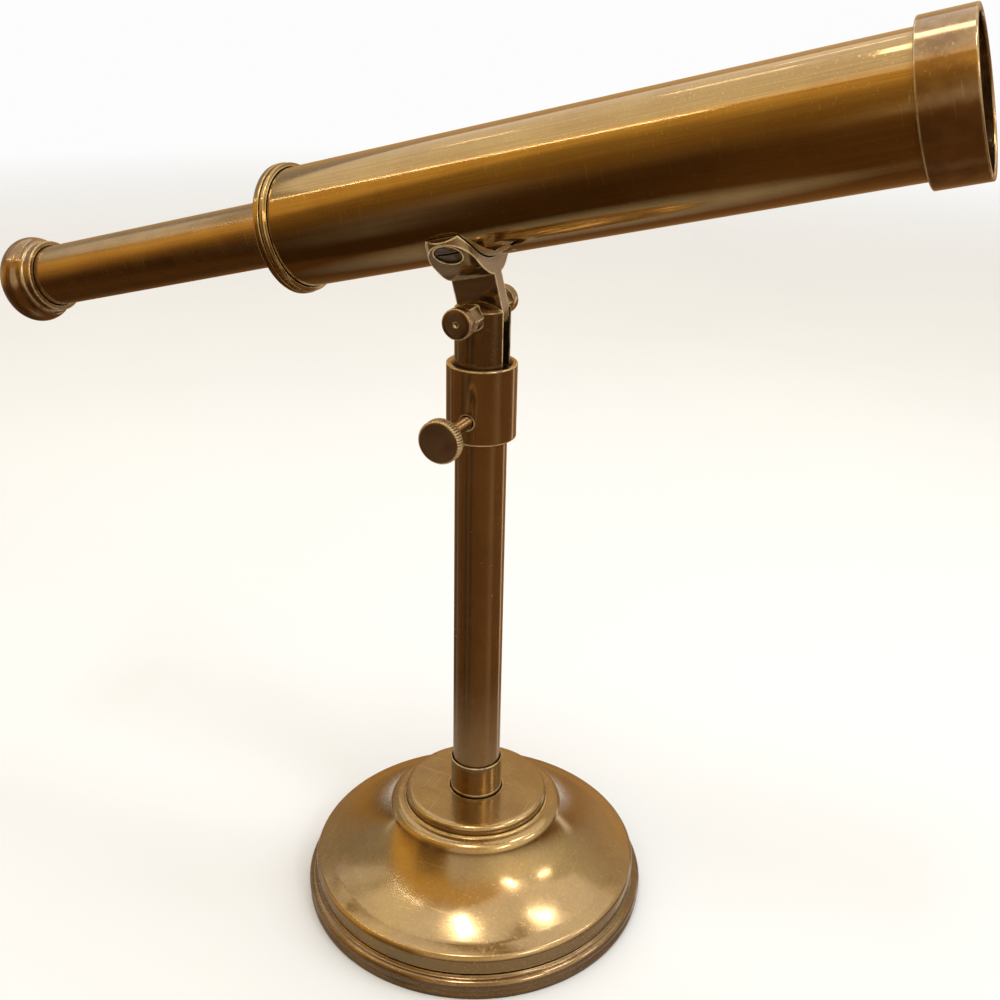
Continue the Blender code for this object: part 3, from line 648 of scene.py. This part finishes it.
class Shader:
    """One node material, built by methods that each add a node and return its output."""

    def __init__(self, name, axis=None):
        self.material = bpy.data.materials.new(name)
        self.material.use_nodes = True
        self.tree = self.material.node_tree
        self.tree.nodes.clear()
        self.place = self.add("TexCoord").outputs["Object"]
        if axis:
            self.place = self.add("Mapping", {
                "Vector": self.place, "Location": axis.translation, "Rotation": axis.to_euler(),
            }, vector_type="TEXTURE").outputs[0]

    def add(self, kind, inputs=None, **settings):
        """A node of this material, given by the end of its type's name."""
        return add_node(self.tree, kind, inputs or {}, settings)

    def noise(self, scale, detail=3.0, roughness=0.55, stretch=None, distortion=0.0):
        """Noise over the object's own coordinates, per metre."""
        place = self.place
        if stretch:
            place = self.add("Mapping", {"Vector": place, "Scale": stretch}).outputs[0]
        return self.add("TexNoise", {
            "Vector": place, "Scale": scale, "Detail": detail, "Roughness": roughness,
            "Distortion": distortion,
        }).outputs["Fac"]

    def remap(self, value, low, high, to_low=0.0, to_high=1.0):
        """The value from low to high, moved to lie from to_low to to_high and clamped there."""
        return self.add("MapRange", {
            "Value": value, "From Min": low, "From Max": high, "To Min": to_low, "To Max": to_high,
        }).outputs["Result"]

    def math(self, operation, a, b):
        return self.add("Math", {0: a, 1: b}, operation=operation, use_clamp=True).outputs[0]

    def mix(self, factor, a, b, blend="MIX"):
        return self.add("Mix", {0: factor, 6: a, 7: b}, data_type="RGBA", blend_type=blend).outputs[2]

    def scratches(self, rate, density, turn):
        """Fine lines in one direction: thin where a stretched noise crosses its middle value."""
        at = self.add("Mapping", {"Vector": self.place, "Rotation": turn, "Scale": rate}).outputs[0]
        lines = self.add("TexNoise", {"Vector": at, "Scale": 1.0, "Detail": 2.0, "Roughness": 0.4})
        lines = lines.outputs["Fac"]
        return self.remap(lines, density, density + 0.035)

    def edges(self, width):
        """1 on rounded outer edges and corners, 0 on even surfaces."""
        rounded = self.add("Bevel", {"Radius": width}, samples=8).outputs[0]
        true = self.add("NewGeometry").outputs["Normal"]
        same = self.add("VectorMath", {0: rounded, 1: true}, operation="DOT_PRODUCT").outputs["Value"]
        return self.remap(same, 0.997, 0.965)

    def crevices(self, distance):
        """1 deep in corners and grooves, 0 in the open, from ambient occlusion: where it darkens a colour,
        that is painted shade.
        """
        open_sky = self.add("AmbientOcclusion", {"Distance": distance}, samples=6).outputs["AO"]
        return self.remap(open_sky, 0.95, 0.35)

    def bump(self, height, distance, strength=1.0, normal=None):
        inputs = {"Height": height, "Distance": distance, "Strength": strength}
        if normal:
            inputs["Normal"] = normal
        return self.add("Bump", inputs).outputs[0]

    def done(self, inputs):
        """Ends the material with a principled shader, and returns it."""
        surface = self.add("BsdfPrincipled", inputs).outputs[0]
        self.add("OutputMaterial", {"Surface": surface})
        return self.material


def grey(value):
    """A neutral colour, also used where a mix node carries a plain number."""
    return (value, value, value, 1.0)


CREVICE_REACH = 2.2 * MM
WORN_ROUGHNESS = 0.3
WORN_METALLIC = 0.25
HAZE_COLOUR = (0.36, 0.27, 0.21, 1)


def brass(name, colour, tarnish, worn, roughness, axis=None, wear=0.9, patina=0.6, coat=0.5,
          haze=0.0, body=1.0, rub=0.8, marks=(30.0, 2600.0, 2600.0)):
    """Patinated brass under old lacquer: tarnish clouds, specks, scratches, worn edges, and painted shade in
    corners and grooves.

    wear, patina and haze are 0 to 1: how worn the edges are, how far the tarnish shows and how milky
    the lacquer is.  body is how metallic it is, rub the width of the worn edges in millimetres, and
    marks the rate of the drawing marks along each axis.
    """
    shade = Shader(name, axis)
    clouds = shade.remap(shade.noise(45, 6, 0.55, distortion=0.6), 0.38, 0.66)
    mottle = shade.noise(300, 4, 0.5)
    streaks = shade.noise(1.0, 4, 0.6, stretch=marks)
    stains = shade.remap(shade.noise(190, 6, 0.7, distortion=1.2), 0.60, 0.74)
    specks = shade.remap(shade.noise(2300, 2, 0.5), 0.70, 0.76)
    edge = shade.edges(rub * MM)
    crevice = shade.crevices(CREVICE_REACH)
    fine = shade.math("MAXIMUM", shade.scratches((40, 1500, 1500), 0.67, (0.3, 0.5, 0.9)),
                      shade.scratches((1500, 60, 1500), 0.68, (0.7, 0.2, 2.1)))

    shown = shade.mix(shade.math("MULTIPLY", clouds, patina), colour, tarnish)
    shown = shade.mix(shade.remap(mottle, 0.3, 0.7, 0.0, 0.16), shown, tarnish)
    shown = shade.mix(shade.remap(streaks, 0.45, 0.8, 0.0, 0.18), shown, worn)
    film = shade.remap(shade.noise(32, 4, 0.5, distortion=0.5), 0.35, 0.65, 0.35 * haze, haze)
    shown = shade.mix(film, shown, HAZE_COLOUR)
    # the grime colour of the stains and specks, also used as painted shade in corners and grooves
    grime_and_shade = tuple(0.5 * value for value in tarnish[:3]) + (1.0,)
    shown = shade.mix(shade.math("MULTIPLY", stains, 0.22), shown, grime_and_shade)
    shown = shade.mix(shade.math("MULTIPLY", specks, 0.45), shown, grime_and_shade)
    shown = shade.mix(shade.math("MULTIPLY", fine, 0.12), shown, worn)
    # painted shade: colour darkened towards the grime colour where ambient occlusion finds corners and
    # grooves
    shown = shade.mix(shade.math("MULTIPLY", crevice, 0.7), shown, grime_and_shade)
    uneven = shade.remap(shade.noise(260, 4, 0.6), 0.28, 0.52, 0.4 * wear, wear)
    rubbed = shade.math("SUBTRACT", shade.math("MULTIPLY", edge, uneven), crevice)
    shown = shade.mix(rubbed, shown, worn)

    dull = shade.noise(130, 6, 0.65, distortion=0.8)
    dull = shade.remap(dull, 0.35, 0.7, roughness * 0.75, roughness * 1.45)
    dull = shade.math("ADD", dull, shade.math("MULTIPLY", fine, 0.08))
    dull = shade.math("ADD", dull, shade.math("MULTIPLY", crevice, 0.25))
    dull = shade.mix(rubbed, dull, grey(WORN_ROUGHNESS))
    waves = shade.bump(shade.noise(160, 2, 0.4), 0.008 * MM, 0.35)
    pits = shade.bump(specks, -0.005 * MM, 0.2, waves)
    return shade.done({
        "Base Color": shown, "Metallic": shade.mix(rubbed, grey(body), grey(WORN_METALLIC)),
        "Roughness": dull, "Normal": shade.bump(fine, -0.002 * MM, 0.4, pits),
        "Coat Weight": coat, "Coat IOR": 1.5,
        "Coat Roughness": shade.remap(mottle, 0.3, 0.75, 0.03, 0.14),
    })


def plain_metal(name, colour, dark, roughness, grain, metallic=1.0, edge_colour=None):
    """Iron, steel and blackened metal: grain, stains, brighter edges, and painted shade in the corners."""
    shade = Shader(name)
    cast = shade.noise(grain, 6, 0.65)
    shown = shade.mix(shade.remap(cast, 0.35, 0.7), colour, dark)
    stains = shade.remap(shade.noise(grain * 0.2, 5, 0.6, distortion=1.0), 0.5, 0.7, 0.0, 0.4)
    shown = shade.mix(stains, shown, dark)
    fine = shade.scratches((60, 1800, 1800), 0.68, (0.4, 0.6, 0.8))
    shown = shade.mix(shade.math("MULTIPLY", fine, 0.4), shown, edge_colour or colour)
    shown = shade.mix(shade.math("MULTIPLY", shade.edges(0.4 * MM), 0.6), shown, edge_colour or colour)
    # painted shade: near black where ambient occlusion finds corners and grooves
    shown = shade.mix(shade.math("MULTIPLY", shade.crevices(2 * MM), 0.6), shown, grey(0.01))
    dull = shade.remap(cast, 0.3, 0.7, roughness * 0.8, roughness * 1.3)
    return shade.done({
        "Base Color": shown, "Metallic": metallic, "Roughness": dull,
        "Normal": shade.bump(cast, 0.02 * MM, 0.5),
    })


def felt_material(name):
    """Green baize: matted fibres in two directions, rubbed lighter in places."""
    shade = Shader(name)
    fibres = shade.noise(2200, 4, 0.7, stretch=(1.0, 0.35, 1.0), distortion=2.0)
    rubbed = shade.remap(shade.noise(60, 4, 0.6), 0.4, 0.7, 0.0, 0.5)
    shown = shade.mix(shade.remap(fibres, 0.3, 0.7), (0.008, 0.04, 0.018, 1), (0.03, 0.11, 0.05, 1))
    shown = shade.mix(rubbed, shown, (0.06, 0.12, 0.06, 1))
    return shade.done({
        "Base Color": shown, "Roughness": shade.remap(fibres, 0.3, 0.7, 0.8, 1.0), "Sheen Weight": 0.4,
        "Normal": shade.bump(fibres, 0.15 * MM, 0.7),
    })


def glass_material(name):
    """Polished crown glass with a faint dusty film."""
    shade = Shader(name)
    dust = shade.remap(shade.noise(900, 5, 0.6), 0.5, 0.75, 0.0, 0.12)
    shown = shade.mix(dust, (0.93, 0.97, 0.95, 1), (0.75, 0.76, 0.72, 1))
    return shade.done({
        "Base Color": shown, "Roughness": shade.math("MULTIPLY", dust, 0.5), "IOR": 1.52,
        "Transmission Weight": 1.0, "Normal": shade.bump(shade.noise(60, 2, 0.5), 0.001 * MM, 0.1),
    })


GOLD = (0.80, 0.56, 0.22, 1)
PALE_GOLD = (0.88, 0.70, 0.38, 1)
ALONG_THE_TUBE = (2600.0, 2600.0, 30.0)


def even(rate):
    """The same rate of marks along all three axes: spots instead of drawn lines."""
    return (rate, rate, rate)


# each brass: its colour, its tarnish and its worn edges, then its roughness
FINISHES = {
    "golden_brass": brass(
        "golden_brass", (0.40, 0.268, 0.090, 1), (0.30, 0.180, 0.060, 1), GOLD, 0.19,
        haze=0.28, body=0.95, marks=even(900.0)),
    "antique_brass": brass(
        "antique_brass", (0.37, 0.245, 0.085, 1), (0.30, 0.17, 0.055, 1), PALE_GOLD, 0.09,
        rub=0.5, axis=ON_TUBE, marks=ALONG_THE_TUBE),
    "drawn_brass": brass(
        "drawn_brass", (0.38, 0.245, 0.095, 1), (0.28, 0.16, 0.060, 1), PALE_GOLD, 0.20,
        haze=0.08, rub=0.5, axis=ON_TUBE, marks=ALONG_THE_TUBE),
    "dark_brass": brass(
        "dark_brass", (0.39, 0.24, 0.085, 1), (0.28, 0.155, 0.055, 1), PALE_GOLD, 0.15,
        patina=0.7, wear=1.0, haze=0.10, body=0.95, coat=0.35),
    "aged_brass": brass(
        "aged_brass", (0.25, 0.155, 0.062, 1), (0.15, 0.085, 0.034, 1), PALE_GOLD, 0.15,
        patina=0.8, wear=1.0, haze=0.08, body=0.95, rub=0.7),
    "copper_brass": brass(
        "copper_brass", (0.35, 0.22, 0.095, 1), (0.17, 0.09, 0.036, 1), PALE_GOLD, 0.12,
        patina=0.85, haze=0.05, body=0.98, rub=0.7, axis=ON_TUBE, marks=even(200.0)),
    "bright_brass": brass(
        "bright_brass", (0.66, 0.46, 0.20, 1), (0.40, 0.25, 0.10, 1), PALE_GOLD, 0.2, patina=0.4),
    "threaded_brass": plain_metal(
        "threaded_brass", (0.20, 0.11, 0.045, 1), (0.10, 0.05, 0.02, 1), 0.25, 1200,
        edge_colour=(0.34, 0.21, 0.09, 1)),
    "steel": plain_metal(
        "steel", (0.24, 0.21, 0.18, 1), (0.10, 0.08, 0.06, 1), 0.30, 900,
        edge_colour=(0.55, 0.50, 0.42, 1)),
    "cast_iron": plain_metal(
        "cast_iron", grey(0.09), (0.10, 0.05, 0.03, 1), 0.6, 700, edge_colour=grey(0.25)),
    "black_paint": plain_metal(
        "black_paint", grey(0.018), grey(0.008), 0.45, 1500, metallic=0.0,
        edge_colour=(0.30, 0.21, 0.09, 1)),
    "green_felt": felt_material("green_felt"),
    "glass": glass_material("glass"),
}


def dress():
    """Gives every new piece, and every CAD node that stays, the finish of its slot."""
    finishes = {NODES[part["node"]]: part["material_slot"] for part in frame["record"]["subparts"]}
    finishes.update((made, made["finish"]) for made in bpy.context.scene.objects if "finish" in made)
    for shown, finish in finishes.items():
        shown.data.materials.clear()
        shown.data.materials.append(FINISHES[finish])
        for polygon in shown.data.polygons:
            polygon.material_index = 0


dress()


# Floor, light and camera

FLOOR_SPAN = 40.0
# the floor is whole up to the first distance from the axis and gone past the second, in metres
FLOOR_FADE = (0.7, 1.9)
REFLECTED_FADE = (0.070, 0.14)
REFLECTED_SHARE = 0.35


def make_floor():
    """A pale floor that fades into the backdrop.

    First reflections see only a faint part of it, close to the base, and the room's own dark lower
    half past that.
    """
    shape = bmesh.new()
    bmesh.ops.create_grid(shape, x_segments=40, y_segments=40, size=FLOOR_SPAN)
    floor = finished("studio_floor", shape)
    shade = Shader("studio_floor")
    tone = shade.remap(shade.noise(3, 3, 0.5), 0.3, 0.7)
    shown = shade.mix(tone, (0.77, 0.85, 0.98, 1), (0.80, 0.88, 1.00, 1))
    distance = shade.add("VectorMath", {0: shade.place}, operation="LENGTH").outputs["Value"]
    path = shade.add("LightPath").outputs
    first_reflection = shade.math("LESS_THAN", path["Glossy Depth"], 1.5)
    first_reflection = shade.math("MULTIPLY", first_reflection, path["Is Glossy Ray"])
    nearby = shade.remap(distance, *REFLECTED_FADE, REFLECTED_SHARE, 0.0)
    wide = shade.remap(distance, *FLOOR_FADE, 1.0, 0.0)
    solid = shade.math("MULTIPLY", wide, shade.math("SUBTRACT", 1.0, first_reflection))
    solid = shade.math("MAXIMUM", solid, shade.math("MULTIPLY", nearby, first_reflection))
    floor.data.materials.append(shade.done({
        "Base Color": shown, "Roughness": 0.9, "Alpha": solid,
        "Normal": shade.bump(shade.noise(700, 3, 0.5), 0.05 * MM, 0.2),
    }))


WARM_WHITE = (1.0, 0.97, 0.92)


def panel(name, place, aim, width, depth, radiance):
    """A soft light panel that shows in reflections with a chosen radiance, and not to the camera."""
    data = bpy.data.lights.new(name, "AREA")
    data.shape = "RECTANGLE"
    data.size, data.size_y = width, depth
    data.energy = radiance * math.pi * width * depth
    data.color = WARM_WHITE
    light = bpy.data.objects.new(name, data)
    bpy.context.scene.collection.objects.link(light)
    normal = (Vector(place) - Vector(aim)).normalized()
    along = (Vector((1, 0, 0)) - normal * normal.x).normalized()
    light.matrix_world = frame_of(along, normal.cross(along), normal, place)
    light.visible_camera = False


BELOW = (0.125, 0.060, 0.020, 1)
DARK = (0.16, 0.078, 0.028, 1)
BROWN = (0.29, 0.155, 0.055, 1)
AMBER = (0.58, 0.32, 0.080, 1)
ORANGE = (1.00, 0.62, 0.17, 1)
CEILING_GLOW = (0.60, 0.52, 0.42, 1)
UNLIT = (0, 0, 0, 1)
UNCHANGED = (1, 1, 1, 1)
BACKDROP = (0.98, 0.98, 0.98, 1)
LIT_FLOOR = (0.24, 0.16, 0.10, 1)

# a ramp's stops are degrees with a colour or a grey.  Round the tube's line: 0 is level at the front,
# 90 is overhead
AROUND_THE_TUBE = [
    (-180, BROWN), (-140, DARK), (-100, BELOW), (-30, BELOW), (-12, DARK), (0, BROWN), (22, AMBER),
    (48, ORANGE), (63, ORANGE), (72, CEILING_GLOW), (125, CEILING_GLOW), (160, AMBER), (180, BROWN),
]
# round the upright pole, here and below: 0 is towards +X, -90 is the front
ROUND_THE_POLE = [
    (-180, 0.85), (-150, 1.05), (-136, 1.0), (-132, 0.50), (-104, 0.62), (-96, 1.1), (-90, 1.2),
    (-32, 1.5), (0, 1.5), (30, 1.3), (60, 1.25), (90, 1.6), (120, 1.2), (150, 0.75), (180, 0.85),
]
# a broad pale glow at the front right, from the horizon up, and how far it covers the room
GLOW = [
    (-180, 0.5), (-104, (0.95, 0.90, 0.74, 1)), (-60, (0.98, 0.93, 0.76, 1)),
    (-30, (1.45, 1.38, 1.16, 1)), (5, (1.30, 1.22, 1.00, 1)), (30, (1.00, 0.96, 0.78, 1)),
    (70, (0.66, 0.61, 0.48, 1)), (180, 0.5),
]
GLOW_SHARE = [(-180, 0.0), (-101, 0.0), (-94, 0.8), (60, 0.8), (115, 0.0), (180, 0.0)]
# tall thin lights that reach below the horizon, for the upright tubes
TALL_LIGHTS = [
    (-171, 0.0), (-168, 0.18), (-165, 0.0), (-124, 0.0), (-118, 0.10), (-112, 0.0), (-30, 0.0),
    (-10, 0.12), (4, 0.0), (54, 0.0), (60, 1.2), (66, 0.0), (172, 0.0), (176, 0.5), (180, 0.0),
]


def make_world():
    """A pale room: bright overhead, warm brown towards the sides, dark below, seen in reflections."""
    world = bpy.data.worlds.new("studio")
    world.use_nodes = True
    tree = world.node_tree
    tree.nodes.clear()

    def add(kind, inputs, **settings):
        return add_node(tree, kind, inputs, settings)

    def ramp(value, stops):
        """The stops' colours or greys, over a full turn from -180 degrees."""
        node = add("ValToRGB", {"Fac": value})
        elements = node.color_ramp.elements
        while len(elements) < len(stops):
            elements.new(1.0)
        for element, (degrees, shade) in zip(elements, stops):
            element.position = (degrees + 180) / 360
            element.color = shade if isinstance(shade, tuple) else grey(shade)
        return node.outputs["Color"]

    def turn_of(y, x):
        angle = add("Math", {0: y, 1: x}, operation="ARCTAN2").outputs[0]
        return add("MapRange", {
            "Value": angle, "From Min": -math.pi, "From Max": math.pi,
        }).outputs["Result"]

    def fade(value, low, high):
        """0 at low and 1 at high."""
        return add("MapRange", {"Value": value, "From Min": low, "From Max": high}).outputs["Result"]

    def mix(factor, a, b, blend="MIX"):
        return add("Mix", {0: factor, 6: a, 7: b}, data_type="RGBA", blend_type=blend).outputs[2]

    def less(a, b):
        return add("Math", {0: a, 1: b}, operation="SUBTRACT", use_clamp=True).outputs[0]

    direction = add("TexCoord", {}).outputs["Generated"]
    parts = add("SeparateXYZ", {0: direction}).outputs
    height = parts["Z"]
    up = add("VectorMath", {0: direction, 1: ABOVE}, operation="DOT_PRODUCT").outputs["Value"]
    front = add("VectorMath", {0: direction, 1: -ACROSS}, operation="DOT_PRODUCT").outputs["Value"]
    compass = turn_of(parts["Y"], parts["X"])
    overhead = fade(height, 0.6, 0.92)

    sides = mix(fade(height, 0.52, 0.74), ramp(compass, ROUND_THE_POLE), UNCHANGED)
    room = mix(1.0, ramp(turn_of(up, front), AROUND_THE_TUBE), sides, "MULTIPLY")
    share = add("Math", {0: ramp(compass, GLOW_SHARE), 1: fade(height, -0.10, 0.20)},
                operation="MULTIPLY").outputs[0]
    room = mix(less(share, overhead), room, ramp(compass, GLOW))
    low = less(fade(height, 0.1, -0.05), fade(height, -0.55, -0.7))
    room = mix(1.0, room, mix(low, UNLIT, ramp(compass, TALL_LIGHTS)), "ADD")
    room = mix(fade(height, -0.97, -0.999), room, LIT_FLOOR)
    to_camera = add("LightPath", {}).outputs["Is Camera Ray"]
    background = add("Background", {"Color": mix(to_camera, room, BACKDROP), "Strength": 1.0})
    add("OutputWorld", {"Surface": background.outputs[0]})
    bpy.context.scene.world = world


CAMERA_PLACE = (0.143187, -0.314265, 0.300453)
CAMERA_RIGHT = (0.913620, 0.406083, 0.019877)
CAMERA_UP = (-0.180647, 0.361656, 0.914643)


def make_camera():
    """The photo's view: from above the front, 23.8 degrees down, with a 43 mm lens on a 36 mm sensor."""
    data = bpy.data.cameras.new("photo_camera")
    data.lens = 43.45
    data.sensor_width = 36.0
    data.clip_start = 0.01
    camera = bpy.data.objects.new("photo_camera", data)
    bpy.context.scene.collection.objects.link(camera)
    right, up = Vector(CAMERA_RIGHT), Vector(CAMERA_UP)
    camera.matrix_world = frame_of(right, up, right.cross(up), CAMERA_PLACE)
    bpy.context.scene.camera = camera


# metres
CEILING = 0.9
STRIP_DROP = 0.01
LAMP_DISTANCE = 1.3
LAMP_AIM = Vector((0.02, -0.035, 0.02))


def make_lights():
    """Two broad ceiling panels, strips just under them for the tube's top, and lamps for the bell."""
    panel("ceiling_panel", (0.03, 0.24, CEILING), (0.03, 0.24, 0), 1.75, 1.22, 0.74)
    panel("ceiling_end_panel", (-1.2, 0.05, CEILING), (-1.2, 0.05, 0), 0.40, 0.80, 0.55)
    for name, x, y, length, width, radiance in (
        ("edge_strip", -0.645, -0.375, 0.65, 0.008, 16.0),
        ("rear_dash", -0.55, 0.20, 0.09, 0.007, 9.0),
        ("middle_dash", -0.29, 0.29, 0.13, 0.007, 9.0),
        ("front_dash", -0.214, 0.52, 0.12, 0.007, 9.0),
        ("cell_streak", -0.10, 0.13, 0.10, 0.11, 5.5),
    ):
        panel(name, (x, y, CEILING - STRIP_DROP), (x, y, 0), length, width, radiance)
    for name, azimuth, elevation, width, depth, radiance in (
        ("high_lamp", -94, 80, 0.16, 0.28, 15.0),
        ("right_lamp", 26, 63, 0.12, 0.25, 14.0),
        ("front_lamp", -23, 45, 0.12, 0.30, 12.0),
        ("low_lamp", 16, 36, 0.10, 0.22, 10.0),
    ):
        turn, rise = math.radians(azimuth), math.radians(elevation)
        level = Vector((math.cos(turn), math.sin(turn), 0)) * math.cos(rise)
        outward = level + Vector((0, 0, math.sin(rise)))
        panel(name, LAMP_AIM + outward * LAMP_DISTANCE, LAMP_AIM, width, depth, radiance)


make_floor()
make_world()
make_lights()
make_camera()
bpy.context.scene.view_settings.view_transform = "Standard"
bpy.context.view_layer.update()
